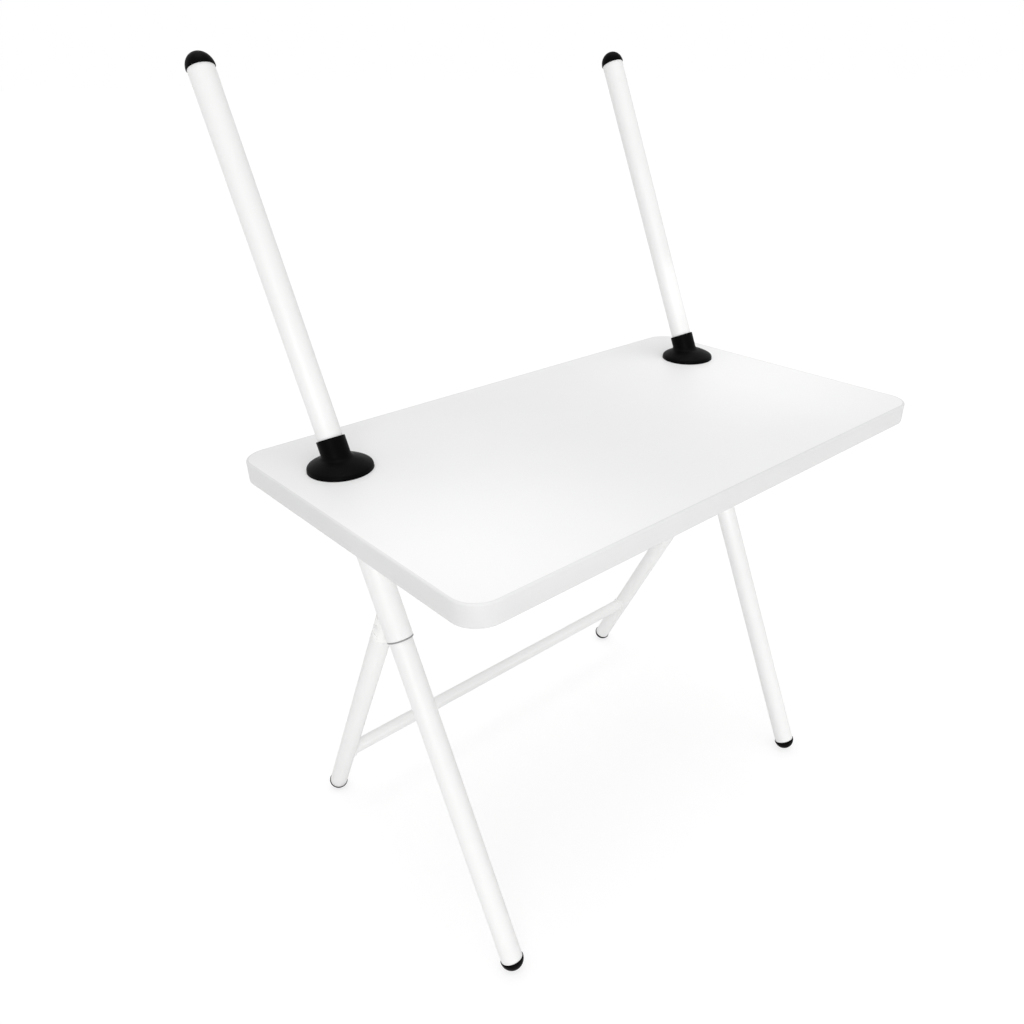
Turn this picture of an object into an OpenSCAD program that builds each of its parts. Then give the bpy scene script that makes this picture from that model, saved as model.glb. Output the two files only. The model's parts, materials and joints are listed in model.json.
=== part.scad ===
// Folding board stand: a faced board carried by two leaning tubes, with a rear frame that folds in.
// X runs along the board, Y to the back, Z up. The floor is Z = 0.

/* [Board] */
// Width of the board, left to right
board_w = 520; // [480:1:640]
// Depth of the board, front to back
board_d = 310; // [280:1:380]
// Thickness of the whole board
board_t = 18; // [15:0.5:25]
// Height of the board's top face above the floor
board_top_z = 428; // [400:1:500]
// Radius of the board's corners
corner_r = 22; // [8:1:40]
// Thickness of the facing sheet on the top and underneath
facing_t = 0.8; // [0.5:0.1:1.5]
// Thickness of the band round the board's edge
band_t = 2; // [1:0.5:3]

/* [Main tubes] */
// Lean of the uprights and front legs, back from vertical, in degrees
lean = 24.3; // [20:0.1:28]
// Outside diameter of the uprights and front legs
tube_d = 20; // [18:0.1:22]
// Wall of the uprights and front legs
tube_wall = 1.2; // [0.8:0.1:2]
// Distance of the tube axes in from the ends of the board
tube_inset = 50; // [40:1:80]
// Distance of the front feet behind the board's front edge
foot_setback = 43.5; // [30:0.5:60]
// Length of each upright tube
upright_l = 309; // [250:1:400]
// Clearance all round between a tube and the bore it slides in
slide_gap = 0.1; // [0.06:0.01:0.2]

/* [Sockets] */
// Diameter of the socket's flange
flange_d = 52; // [50:0.5:60]
// Height of the flange's upright rim
rim_h = 3; // [2:0.5:5]
// Height of the dome above the rim
flange_dome_h = 7.5; // [6:0.5:10]
// Height of the neck's mouth above the board, on the tube's axis
neck_h = 22; // [18:0.5:30]
// Wall of the neck and of the shank in the board
socket_wall = 1.4; // [1:0.1:2]
// Thinnest wall under the upright's seat
seat_wall = 2.5; // [1.5:0.1:3]
// Diameter of the drain hole below the seat
drain_d = 13; // [8:0.5:15]
// Clearance round the shank and the bosses in the board
board_gap = 0.2; // [0.1:0.05:0.3]

/* [Plates and screws] */
// Thickness of the plates under the board
plate_t = 3; // [2:0.5:5]
// Rim of plate left outside the screws and the sleeve
plate_margin = 8; // [7:0.5:12]
// Radius of the plate's corners
plate_corner_r = 6; // [3:0.5:8]
// Half the distance between the screws, left to right
screw_x = 18; // [17.5:0.5:19]
// Half the distance between the screws, front to back
screw_y = 10; // [8:0.5:11]
// Diameter of the screws
screw_d = 4; // [3:0.1:4.5]
// Diameter of the screw heads
screw_head_d = 8; // [6:0.1:9]
// Height of the screw heads
screw_head_h = 2.6; // [2:0.1:4]
// Diameter of the bosses under the flange
boss_d = 8; // [7:0.1:8.5]
// Depth of the bosses in the board
boss_l = 9; // [6:0.5:11]

/* [Sleeves] */
// Wall of the sleeve that holds the front leg
sleeve_wall = 1.2; // [1:0.1:2]
// Length of the sleeve along its axis
sleeve_l = 122; // [100:1:140]
// Thickness of the rubber ring on each leg, under the sleeve
ring_t = 1.2; // [1:0.1:1.4]

/* [Rear frame] */
// Lean of the rear legs, forward from vertical, in degrees
rear_lean = 27.7; // [24:0.1:30]
// Outside diameter of the rear legs
rear_d = 18; // [16:0.1:20]
// Wall of the rear legs
rear_wall = 1.2; // [0.8:0.1:2]
// Diameter of the cross bar
bar_d = 14; // [10:0.1:16]
// Wall of the cross bar
bar_wall = 1; // [0.8:0.1:2]
// Height of the cross bar's axis above the floor
bar_z = 75; // [60:1:140]

/* [Hinges] */
// Height of the pivot above the sleeve's lower end, along the sleeve
pivot_up = 10; // [9.5:0.5:20]
// Clearance between the folded rear leg and what it folds in beside
fold_gap = 0.5; // [0.4:0.1:2]
// Thickness of the tongue on the sleeve
tongue_t = 4.5; // [4:0.5:5.5]
// Radius of the tongue's rounded end
tongue_r = 7.5; // [7:0.1:8]
// Thickness of the washers between tongue and fork
washer_t = 1; // [0.8:0.1:1.5]
// Outside diameter of the washers
washer_d = 13; // [10:0.5:14]
// Diameter of the hinge rivets
rivet_d = 5; // [4:0.1:6]
// Clearance all round the hinge rivets
rivet_gap = 0.08; // [0.04:0.01:0.1]
// Diameter of the rivet heads
rivet_head_d = 8; // [7:0.1:9]
// Height of the rivet heads, level with the leg's side
rivet_head_h = 1.2; // [0.8:0.1:1.5]
// Distance from the pivot to the end of the leg's tube
fork_drop = 14; // [13:0.5:18]
// Reach of the fork past the pivot
fork_reach = 12.5; // [11:0.5:14]
// Clearance at the stops, and between washer and fork
stop_gap = 0.2; // [0.1:0.05:0.3]

/* [Caps] */
// Distance that the caps and feet stand out past their tubes, all round
cap_lip = 0.7; // [0.4:0.1:1]
// Height of the straight rim on the caps and feet
cap_rim_h = 0.6; // [0.4:0.1:1.5]
// Height of the domes on the uprights and the front feet
cap_dome_h = 10.3; // [9:0.1:10.6]
// Height of the domes under the rear feet
rear_dome_h = 8; // [6.5:0.1:9]
// Length of the stems inside the tubes
stem_l = 16; // [10:1:25]
// Wall of the stems
stem_wall = 2; // [1.5:0.1:3]
// Clearance all round the stems
stem_gap = 0.1; // [0.05:0.05:0.2]

/* [Hidden] */

$fn = 64;
LEFT = -1;
RIGHT = 1;
SIDES = [LEFT, RIGHT];
// Extra length on cutting shapes
over = 1;
// Larger than the whole stand, for half-space cuts
far = 2000;
// Room left for a weld, for glue or for a snug fit between fixed pieces
weld_gap = 0.1;

frame_white = "white";
board_white = "whitesmoke";
cap_black = [0.06, 0.06, 0.06];
ring_grey = "darkgray";

// Radius of the sphere whose cap has base radius r and height h
function dome_r(r, h) = (r * r + h * h) / (2 * h);
// Height of a leaning tube's end above the floor that the dome of its foot rests on
function rest_z(r, h, angle) = dome_r(r, h) - (dome_r(r, h) - h - cap_rim_h) * cos(angle);

tube_spacing = board_w - 2 * tube_inset;
tube_r = tube_d / 2;
bore_r = tube_r + slide_gap;
sleeve_r = bore_r + sleeve_wall;
shank_r = bore_r + socket_wall;
rear_r = rear_d / 2;
cap_r = tube_r + cap_lip;
rear_cap_r = rear_r + cap_lip;

// Heights of the board and of the plate under it
board_bottom_z = board_top_z - board_t;
core_top_z = board_top_z - facing_t;
plate_bottom_z = board_bottom_z - plate_t;
foot_z = rest_z(cap_r, cap_dome_h, lean);

// Distances along the main axis, from the front foot's end up
function axis_s(z) = (z - foot_z) / cos(lean);
board_top_s = axis_s(board_top_z);
board_bottom_s = axis_s(board_bottom_z);
plate_s = axis_s(plate_bottom_z);
neck_s = axis_s(board_top_z + neck_h);
seat_s = axis_s(board_bottom_z + seat_wall + bore_r * sin(lean));
upright_top_s = seat_s + stop_gap + upright_l;
seam_s = plate_s - sleeve_l;
leg_top_s = plate_s - tube_r * tan(lean) - stop_gap;
pivot_s = seam_s + pivot_up;
// Distance of the pivot behind the main axis, so that the folded leg clears the sleeve and the feet clear too
pivot_e = max(sleeve_r + rear_r, cap_r + rear_cap_r) + fold_gap;

// Rear leg, from its pivot down to its foot
pivot_z = foot_z + pivot_s * cos(lean) - pivot_e * sin(lean);
pivot_back = foot_setback + pivot_s * sin(lean) + pivot_e * cos(lean);
rear_end_z = rest_z(rear_cap_r, rear_dome_h, rear_lean);
rear_l = (pivot_z - rear_end_z) / cos(rear_lean);
bar_drop = (pivot_z - bar_z) / cos(rear_lean);
// Angle between front and rear legs when the stand is open
open_angle = lean + rear_lean;
// Half the width of the fork's slot, and the depth of its floor below the pivot
slot_half = tongue_t / 2 + washer_t + stop_gap;
slot_drop = tongue_r + fold_gap;
// Distance from the middle of the fork to the flats on its sides
flat_x = rear_r - rivet_head_h;
// Distance from the pivot to the end of the fork that stops the leg against the sleeve
stop_c = pivot_e - sqrt(sleeve_r * sleeve_r - slot_half * slot_half) - stop_gap;

// The stand's depth puts the origin in the middle of the floor that it covers
cap_ball = dome_r(cap_r, cap_dome_h);
rear_ball = dome_r(rear_cap_r, rear_dome_h);
top_back = foot_setback + (upright_top_s + cap_rim_h + cap_dome_h - cap_ball) * sin(lean) + cap_ball;
rear_back = pivot_back + (rear_l + cap_rim_h + rear_dome_h - rear_ball) * sin(rear_lean) + rear_ball;
depth_all = max(top_back, rear_back, board_d);
front_y = -depth_all / 2;
foot_y = front_y + foot_setback;
flange_y = foot_y + board_top_s * sin(lean);
sleeve_top_y = foot_y + plate_s * sin(lean);

// Frames of the leaning tubes
module at_axis(side, s) {
    translate([side * tube_spacing / 2, foot_y + s * sin(lean), foot_z + s * cos(lean)])
        rotate([-lean, 0, 0]) children();
}

module on_rear_leg(side) {
    translate([side * tube_spacing / 2, front_y + pivot_back, pivot_z])
        rotate([rear_lean, 0, 0]) children();
}

module at_screws(side) {
    for (sx = SIDES, sy = SIDES)
        translate([side * tube_spacing / 2 + sx * screw_x, flange_y + sy * screw_y, 0]) children();
}

// Shared shapes
module tube(d, wall, l) {
    difference() {
        cylinder(d = d, h = l);
        translate([0, 0, -over]) cylinder(d = d - 2 * wall, h = l + 2 * over);
    }
}

module dome(r, h) {
    sphere_r = dome_r(r, h);
    intersection() {
        translate([0, 0, h - sphere_r]) sphere(r = sphere_r);
        translate([-far / 2, -far / 2, 0]) cube(far);
    }
}

module rounded_rect(w, d, r) {
    square([w - 2 * r, d], center = true);
    square([w, d - 2 * r], center = true);
    for (sx = SIDES, sy = SIDES)
        translate([sx * (w / 2 - r), sy * (d / 2 - r)]) circle(r = r);
}

module across(r, l) {
    rotate([0, 90, 0]) cylinder(r = r, h = l, center = true);
}

// Board
module board_plan(inset) {
    translate([0, front_y + board_d / 2])
        rounded_rect(board_w - 2 * inset, board_d - 2 * inset, corner_r - inset);
}

module board_holes() {
    for (side = SIDES) {
        at_axis(side, board_bottom_s - board_t)
            cylinder(r = shank_r + board_gap, h = 3 * board_t);
        at_screws(side) {
            translate([0, 0, board_top_z - boss_l - board_gap])
                cylinder(d = boss_d + 2 * board_gap, h = boss_l + board_gap + over);
            translate([0, 0, board_bottom_z - over])
                cylinder(d = screw_d + 2 * board_gap, h = board_t);
        }
    }
}

module board_layer(z, t) {
    difference() {
        translate([0, 0, z]) linear_extrude(t) board_plan(band_t);
        board_holes();
    }
}

module board_core() {
    color("burlywood") board_layer(board_bottom_z + facing_t, board_t - 2 * facing_t);
}

// The flanges sit in round cut-outs in the top facing, down on the core
module top_facing() {
    color(board_white) difference() {
        board_layer(core_top_z, facing_t);
        for (side = SIDES) translate([side * tube_spacing / 2, flange_y, core_top_z - over])
            cylinder(d = flange_d + 2 * board_gap, h = facing_t + 2 * over);
    }
}

module bottom_facing() {
    color(board_white) board_layer(board_bottom_z, facing_t);
}

module edge_band() {
    color("gainsboro")
        translate([0, 0, board_bottom_z]) linear_extrude(board_t)
            difference() {
                board_plan(0);
                board_plan(band_t);
            }
}

// Sockets on the board
module flange(side) {
    translate([side * tube_spacing / 2, flange_y, core_top_z]) {
        cylinder(d = flange_d, h = facing_t + rim_h);
        translate([0, 0, facing_t + rim_h]) dome(flange_d / 2, flange_dome_h);
    }
}

module shank(side) {
    intersection() {
        at_axis(side, board_bottom_s - board_t)
            cylinder(r = shank_r, h = neck_s - board_bottom_s + board_t);
        translate([-far / 2, -far / 2, board_bottom_z]) cube(far);
    }
}

module socket(side) {
    color(cap_black) difference() {
        union() {
            flange(side);
            shank(side);
            at_screws(side) translate([0, 0, board_top_z - boss_l]) cylinder(d = boss_d, h = boss_l);
        }
        at_axis(side, seat_s) cylinder(r = bore_r, h = neck_s - seat_s + over);
        at_axis(side, board_bottom_s - board_t) cylinder(d = drain_d, h = 3 * board_t);
        at_screws(side) translate([0, 0, board_top_z - boss_l - over])
            cylinder(d = screw_d + weld_gap, h = boss_l + over + rim_h - stop_gap);
    }
}

// Plates, sleeves and screws under the board
module leg_plate(side) {
    plate_front = sleeve_top_y - sleeve_r / cos(lean) - plate_margin;
    plate_back = flange_y + screw_y + plate_margin;
    color(frame_white) difference() {
        translate([side * tube_spacing / 2, (plate_front + plate_back) / 2, plate_bottom_z])
            linear_extrude(plate_t)
                rounded_rect(2 * (screw_x + plate_margin), plate_back - plate_front, plate_corner_r);
        at_screws(side) translate([0, 0, plate_bottom_z - over])
            cylinder(d = screw_d + 2 * board_gap, h = plate_t + 2 * over);
    }
}

module plate_screws() {
    color("silver") for (side = SIDES) at_screws(side) {
        translate([0, 0, plate_bottom_z - screw_head_h]) cylinder(d = screw_head_d, h = screw_head_h);
        translate([0, 0, plate_bottom_z]) cylinder(d = screw_d, h = plate_t + board_t + rim_h / 2);
    }
}

module leg_sleeve(side) {
    color(frame_white) difference() {
        at_axis(side, seam_s) tube(2 * sleeve_r, sleeve_wall, sleeve_l + 2 * sleeve_r);
        translate([-far / 2, -far / 2, plate_bottom_z]) cube(far);
    }
}

module leg_ring(side) {
    color(ring_grey) at_axis(side, seam_s - stop_gap - ring_t / 2)
        rotate_extrude() translate([tube_r + weld_gap + ring_t / 2, 0]) circle(d = ring_t);
}

// Hinges between sleeves and rear legs
module hinge_tongue(side) {
    color(frame_white) at_axis(side, pivot_s) difference() {
        union() {
            translate([-tongue_t / 2, 0, -tongue_r]) cube([tongue_t, pivot_e, 2 * tongue_r]);
            translate([0, pivot_e, 0]) across(tongue_r, tongue_t);
        }
        cylinder(r = sleeve_r + weld_gap, h = 4 * tongue_r, center = true);
        translate([0, pivot_e, 0]) across(rivet_d / 2 + rivet_gap, 2 * tongue_t);
    }
}

module hinge_washers() {
    color("white") for (side = SIDES, sx = SIDES)
        on_rear_leg(side) translate([sx * (tongue_t + washer_t) / 2, 0, 0]) difference() {
            across(washer_d / 2, washer_t);
            across(rivet_d / 2 + rivet_gap, 2 * washer_t);
        }
}

module hinge_rivets() {
    color(frame_white) for (side = SIDES) on_rear_leg(side) {
        across(rivet_d / 2, 2 * flat_x);
        for (sx = SIDES) translate([sx * (flat_x + rivet_head_h / 2), 0, 0])
            across(rivet_head_d / 2, rivet_head_h);
    }
}

// Side shape of the fork: a round front, and an end that meets the sleeve when the leg is open
module fork_side() {
    stop_y = -stop_c * cos(open_angle);
    stop_z = stop_c * sin(open_angle);
    end_y = (fork_reach * sin(open_angle) - stop_c) / cos(open_angle);
    circle(r = stop_c - stop_gap);
    translate([-rear_d, -fork_drop]) square([2 * rear_d, fork_drop]);
    polygon([[0, 0], [stop_y, stop_z], [end_y, fork_reach], [rear_d, fork_reach], [rear_d, 0]]);
}

module fork_cuts() {
    translate([-slot_half, -rear_d, -slot_drop]) cube([2 * slot_half, 2 * rear_d, 2 * rear_d]);
    for (sx = SIDES) translate([sx * (flat_x + rear_d), 0, rear_d - slot_drop])
        cube(2 * rear_d, center = true);
    across(rivet_d / 2 + rivet_gap, 2 * rear_d);
}

module hinge_fork(side) {
    color("white") on_rear_leg(side) difference() {
        union() {
            intersection() {
                translate([0, 0, -fork_drop]) cylinder(r = rear_r, h = fork_drop + fork_reach + over);
                rotate([90, 0, 90]) translate([0, 0, -rear_d]) linear_extrude(2 * rear_d) fork_side();
            }
            translate([0, 0, -fork_drop - stem_l])
                cylinder(r = rear_r - rear_wall - stem_gap, h = stem_l);
        }
        fork_cuts();
    }
}

// Tubes
module upright(side) {
    color(frame_white) at_axis(side, seat_s + stop_gap) tube(tube_d, tube_wall, upright_l);
}

module front_leg(side) {
    color(frame_white) at_axis(side, 0) tube(tube_d, tube_wall, leg_top_s);
}

module rear_leg(side) {
    color(frame_white) on_rear_leg(side) translate([0, 0, -rear_l])
        tube(rear_d, rear_wall, rear_l - fork_drop);
}

module cross_bar() {
    color(frame_white) difference() {
        on_rear_leg(LEFT) translate([0, 0, -bar_drop]) rotate([0, 90, 0]) tube(bar_d, bar_wall, tube_spacing);
        for (side = SIDES) on_rear_leg(side) translate([0, 0, -bar_drop])
            cylinder(r = rear_r + weld_gap, h = 4 * bar_d, center = true);
    }
}

// Caps and feet: a rim and a dome that stand out past the tube, with a hollow stem in the tube
module cap(r, wall, dome_h) {
    cylinder(r = r + cap_lip, h = cap_rim_h);
    translate([0, 0, cap_rim_h]) dome(r + cap_lip, dome_h);
    translate([0, 0, -stem_l]) tube(2 * (r - wall - stem_gap), stem_wall, stem_l);
}

module top_cap(side) {
    color(cap_black) at_axis(side, upright_top_s) cap(tube_r, tube_wall, cap_dome_h);
}

module front_foot(side) {
    color(cap_black) at_axis(side, 0) rotate([180, 0, 0]) cap(tube_r, tube_wall, cap_dome_h);
}

module rear_foot(side) {
    color(cap_black) on_rear_leg(side) translate([0, 0, -rear_l]) rotate([180, 0, 0])
        cap(rear_r, rear_wall, rear_dome_h);
}

board_core();
top_facing();
bottom_facing();
edge_band();
socket(LEFT);  // socket_left
socket(RIGHT);  // socket_right
leg_plate(LEFT);  // leg_plate_left
leg_plate(RIGHT);  // leg_plate_right
plate_screws();
leg_sleeve(LEFT);  // leg_sleeve_left
leg_sleeve(RIGHT);  // leg_sleeve_right
hinge_tongue(LEFT);  // hinge_tongue_left
hinge_tongue(RIGHT);  // hinge_tongue_right
hinge_rivets();
hinge_washers();
upright(LEFT);  // upright_left
upright(RIGHT);  // upright_right
top_cap(LEFT);  // top_cap_left
top_cap(RIGHT);  // top_cap_right
front_leg(LEFT);  // front_leg_left
front_leg(RIGHT);  // front_leg_right
front_foot(LEFT);  // front_foot_left
front_foot(RIGHT);  // front_foot_right
leg_ring(LEFT);  // leg_ring_left
leg_ring(RIGHT);  // leg_ring_right
hinge_fork(LEFT);  // hinge_fork_left
hinge_fork(RIGHT);  // hinge_fork_right
rear_leg(LEFT);  // rear_leg_left
rear_leg(RIGHT);  // rear_leg_right
rear_foot(LEFT);  // rear_foot_left
rear_foot(RIGHT);  // rear_foot_right
cross_bar();
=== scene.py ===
"""Folding board stand: detailed pieces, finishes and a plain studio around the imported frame."""

import json
from functools import wraps
from math import acos, atan2, cos, degrees, pi, radians, sin, sqrt

import bmesh
import bpy
from bpy.props import FloatProperty, FloatVectorProperty, IntProperty, PointerProperty
from bpy.types import Operator, Panel, PropertyGroup
from mathutils import Matrix, Vector


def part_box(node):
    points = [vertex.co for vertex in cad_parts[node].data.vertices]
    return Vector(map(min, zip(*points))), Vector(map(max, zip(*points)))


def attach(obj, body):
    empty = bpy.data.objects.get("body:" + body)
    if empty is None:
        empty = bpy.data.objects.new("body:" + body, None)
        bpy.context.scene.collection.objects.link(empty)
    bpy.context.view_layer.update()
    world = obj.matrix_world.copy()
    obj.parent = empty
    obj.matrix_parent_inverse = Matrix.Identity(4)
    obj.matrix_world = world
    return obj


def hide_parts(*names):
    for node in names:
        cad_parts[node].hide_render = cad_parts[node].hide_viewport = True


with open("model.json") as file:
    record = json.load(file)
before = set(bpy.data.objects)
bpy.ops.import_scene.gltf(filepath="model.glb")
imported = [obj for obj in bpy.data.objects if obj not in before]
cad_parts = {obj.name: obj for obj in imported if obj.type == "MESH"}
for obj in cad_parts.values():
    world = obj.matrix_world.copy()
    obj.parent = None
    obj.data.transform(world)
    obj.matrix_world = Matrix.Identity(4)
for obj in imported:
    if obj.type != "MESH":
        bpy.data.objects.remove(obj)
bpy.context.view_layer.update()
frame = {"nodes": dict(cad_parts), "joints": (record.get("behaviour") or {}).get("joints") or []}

bl_info = {
    "name": "Folding board stand",
    "version": (1, 0, 0),
    "blender": (4, 5, 0),
    "location": "3D View > Sidebar > Stand",
    "description": "Builds the detailed pieces, the finishes and the studio of a folding board stand",
    "category": "Object",
}

# Places and sizes that the frame gives, in metres

MM = 0.001
SIDES = {"left": -1, "right": 1}
JOINTS = {joint["name"]: joint for joint in frame["joints"]}
UP = Vector(JOINTS["upright_left_lift"]["axis"])
LEAN = atan2(UP.y, UP.z)
PIVOT = Vector(JOINTS["rear_fold"]["pos_m"])
OPEN_ANGLE = radians(JOINTS["rear_fold"]["range_deg"][1])
REAR_LEAN = LEAN - OPEN_ANGLE
BAND_LOW, BAND_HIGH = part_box("edge_band")
CORE_LOW, CORE_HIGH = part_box("board_core")
FLANGE_LOW, FLANGE_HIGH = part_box("socket_left")
SLEEVE_LOW, SLEEVE_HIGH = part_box("leg_sleeve_left")
PLATE_LOW, PLATE_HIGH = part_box("leg_plate_left")
TONGUE_LOW, TONGUE_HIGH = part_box("hinge_tongue_left")
RING_LOW, RING_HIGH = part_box("leg_ring_left")
BAR_LOW, BAR_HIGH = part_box("cross_bar")

BOARD_TOP = BAND_HIGH.z
BOARD_T = BAND_HIGH.z - BAND_LOW.z
BAND_T = CORE_LOW.x - BAND_LOW.x
FACING_T = BOARD_TOP - CORE_HIGH.z
FLANGE_R = (FLANGE_HIGH.x - FLANGE_LOW.x) / 2
FLANGE_Y = FLANGE_LOW.y + FLANGE_R
TUBE_X = (FLANGE_HIGH.x + FLANGE_LOW.x) / -2
SLEEVE_R = (SLEEVE_HIGH.x - SLEEVE_LOW.x) / 2
TONGUE_HALF = (TONGUE_HIGH.x - TONGUE_LOW.x) / 2
RING_R = (RING_HIGH.x - RING_LOW.x) / 2
BAR_R = (BAR_HIGH.z - BAR_LOW.z) / 2


def tube_of(node, lean):
    """Lower end, length and radius of a straight tube that leans in the YZ plane."""
    low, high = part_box(node)
    diameter = high.x - low.x
    length = (high.z - low.z - diameter * abs(sin(lean))) / cos(lean)
    along = Vector((0, sin(lean), cos(lean)))
    return (low + high) / 2 - along * length / 2, length, diameter / 2


TUBE_R = tube_of("upright_left", LEAN)[2]
REAR_R = tube_of("rear_leg_left", REAR_LEAN)[2]


# Sizes and colours that a user would change

def length(name, description, millimetres):
    """Length property, shown in the scene's own units."""
    return FloatProperty(
        name=name, description=description, default=millimetres * MM, min=0, precision=5, unit="LENGTH")


def share(name, description, value):
    """Share property, from nought to one."""
    return FloatProperty(name=name, description=description, default=value, min=0, max=1, subtype="FACTOR")


def colour(name, description, value):
    """Colour property."""
    return FloatVectorProperty(
        name=name, description=description, default=value, size=3, min=0, max=1, subtype="COLOR")


class StandSizes(PropertyGroup):
    """Sizes of the detail that the frame doesn't give."""

    corner: length("Board corners", "Radius of the board's corners", 22)
    edge_round: length("Board edge", "Rounding along the board's edges", 1.4)
    tube_wall: length("Tube wall", "Wall of the main tubes and the rear legs", 1.2)
    bar_wall: length("Bar wall", "Wall of the cross bar", 1)
    tube_edge: length("Tube ends", "Rounding of the cut ends of the tubes", 0.3)
    slide_gap: length("Sliding gap", "Clearance between a tube and the bore it slides in", 0.1)
    sleeve_edge: length("Sleeve end", "Rounding of the sleeve's lower end", 0.5)
    neck_wall: length("Socket wall", "Wall of the socket's neck", 1.4)
    neck_lip: length("Socket lip", "Rounding of the socket's mouth", 0.45)
    neck_fillet: length("Socket fillet", "Hollow rounding between neck and dome", 3)
    rim: length("Flange rim", "Height of the flange's upright rim", 3)
    rim_round: length("Rim rounding", "Rounding along the top of the flange's rim", 1.4)
    flange_dome: length("Flange dome", "Height of the dome above the rim", 7.5)
    drain: length("Drain", "Radius of the drain below the upright's seat", 6.5)
    cap_lip: length("Cap lip", "Distance that caps and feet stand out past their tubes", 0.7)
    cap_rim: length("Cap rim", "Height of the straight rim on caps and feet", 0.6)
    cap_dome: length("Cap dome", "Height of the domes on the main tubes", 10.3)
    rear_dome: length("Rear dome", "Height of the domes under the rear legs", 8)
    cap_edge: length("Cap edge", "Rounding of the cap's rim", 0.3)
    stem: length("Cap stem", "Length of the stem inside the tube", 16)
    stem_wall: length("Stem wall", "Wall of the stem", 2)
    plate_corner: length("Plate corners", "Radius of the corners of the plates under the board", 6)
    plate_round: length("Plate edge", "Rounding along the plates' edges", 0.7)
    weld: length("Weld", "Radius of the weld beads", 1.5)
    ripple: share("Weld ripple", "Share of the bead's radius that ripples", 0.1)
    round_steps: IntProperty(name="Round steps", description="Steps around each round piece",
                             default=72, min=12, max=144)


class HingeSizes(PropertyGroup):
    """Sizes of the hinges and the screws."""

    tongue: length("Tongue radius", "Radius of the tongue's round end", 7.5)
    bite: length("Tongue bite", "Depth of the tongue's root in the sleeve's wall", 1)
    play: length("Play", "Clearance between washer and fork, and at the fork's stop", 0.2)
    slot_floor: length("Slot floor", "Distance from the pivot to the floor of the fork's slot", 8)
    reach: length("Reach", "Reach of the fork past the pivot", 12.5)
    drop: length("Drop", "Distance from the pivot to the end of the leg's tube", 14)
    tongue_edge: length("Tongue edge", "Rounding along the tongue's edges", 0.6)
    fork_edge: length("Fork edge", "Rounding along the fork's edges", 0.15)
    washer: length("Washer", "Thickness of the washers", 1)
    washer_r: length("Washer radius", "Outside radius of the washers", 6.5)
    rivet_r: length("Rivet", "Radius of the hinge rivets", 2.5)
    rivet_gap: length("Rivet gap", "Clearance all round the hinge rivets", 0.08)
    rivet_head_r: length("Rivet head", "Radius of the rivet heads", 4)
    rivet_head: length("Rivet head height", "Height of the rivet heads", 1.2)
    rivet_rim: share("Rivet rim", "Share of the rivet head's height that stands upright", 0.4)
    weld_run: share("Tongue weld", "Share of the tongue's height that is welded to the sleeve", 0.8)
    # The rings are painted shade: grey rings that stand in for the shadow line at the sleeves' lower ends.
    ring: length("Rubber ring", "Thickness of the rubber rings on the front legs", 1.2)
    screw_x: length("Screw spread", "Half the distance between the screws, left to right", 18)
    screw_y: length("Screw depth", "Half the distance between the screws, front to back", 10)
    screw_r: length("Screw", "Radius of the screws", 2)
    screw_head_r: length("Screw head", "Radius of the screw heads", 4)
    screw_head: length("Screw head height", "Height of the screw heads", 2.6)
    recess: length("Screw recess", "Reach of the arms of the cross recess in the screw heads", 2.2)
    recess_half: length("Recess width", "Half the width of the recess's arms", 0.55)
    recess_depth: length("Recess depth", "Depth of the recess", 1.6)


class StandColours(PropertyGroup):
    """Base colours of the finishes."""

    frame_white: colour("Frame", "Powder coat on the tubes and plates", (0.86, 0.86, 0.855))
    board_white: colour("Board", "Facing sheets of the board", (0.86, 0.86, 0.86))
    # The edge band's grey, darker than the facing, is painted shade of the board's side faces.
    band_white: colour("Edge band", "Band round the board's edge", (0.73, 0.73, 0.73))
    black: colour("Mouldings", "Sockets, caps and feet", (0.0015, 0.0015, 0.0016))
    # This grey is painted shade, for the rings that stand in for the shadow line under the sleeves.
    rubber: colour("Rubber", "Rings on the front legs", (0.48, 0.48, 0.48))
    nylon: colour("Nylon", "Forks and washers", (0.88, 0.88, 0.87))
    steel: colour("Screws", "Zinc plate on the screws", (0.55, 0.56, 0.57))
    chips: colour("Core", "Wood chips in the board's core", (0.48, 0.31, 0.17))


def sizes():
    """Sizes of the stand's detail."""
    return bpy.context.scene.stand_sizes


def hinge_sizes():
    """Sizes of the hinges and the screws."""
    return bpy.context.scene.stand_hinges


def colours():
    """Base colours of the finishes."""
    return bpy.context.scene.stand_colours


# Shapes

EDGE_STEPS = 4
CORNER_STEPS = 12
DOME_STEPS = 16
FILLET_STEPS = 6
LOW_DOME_STEPS = 8
SHARP_ANGLE = radians(50)
SMOOTH_ANGLE = radians(38)
LEVEL_LIMIT = cos(radians(60))
ROUND_PROFILE = 0.5
MERGE_DISTANCE = 1e-6
NEAR_ZERO = 1e-6


def leaning(point, lean):
    """Place at a point, with Z along a tube that leans in the YZ plane."""
    return Matrix.Translation(point) @ Matrix.Rotation(-lean, 4, "X")


def arc(middle, radius, start, end, steps):
    """Points of a round stretch in a profile, between two angles in degrees."""
    angles = [radians(start + (end - start) * step / steps) for step in range(steps + 1)]
    return [(middle[0] + radius * cos(angle), middle[1] + radius * sin(angle)) for angle in angles]


def ball_radius(radius, height):
    """Radius of the ball that a dome of a given radius and height is part of."""
    return (radius * radius + height * height) / (2 * height)


def dome_arc(radius, height, base, steps):
    """Points from the crown of a dome of a given radius and height to its rim, above a base."""
    ball = ball_radius(radius, height)
    rim_angle = 90 - degrees(acos((ball - height) / ball))
    return arc((0, base + height - ball), ball, 90, rim_angle, steps)


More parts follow.
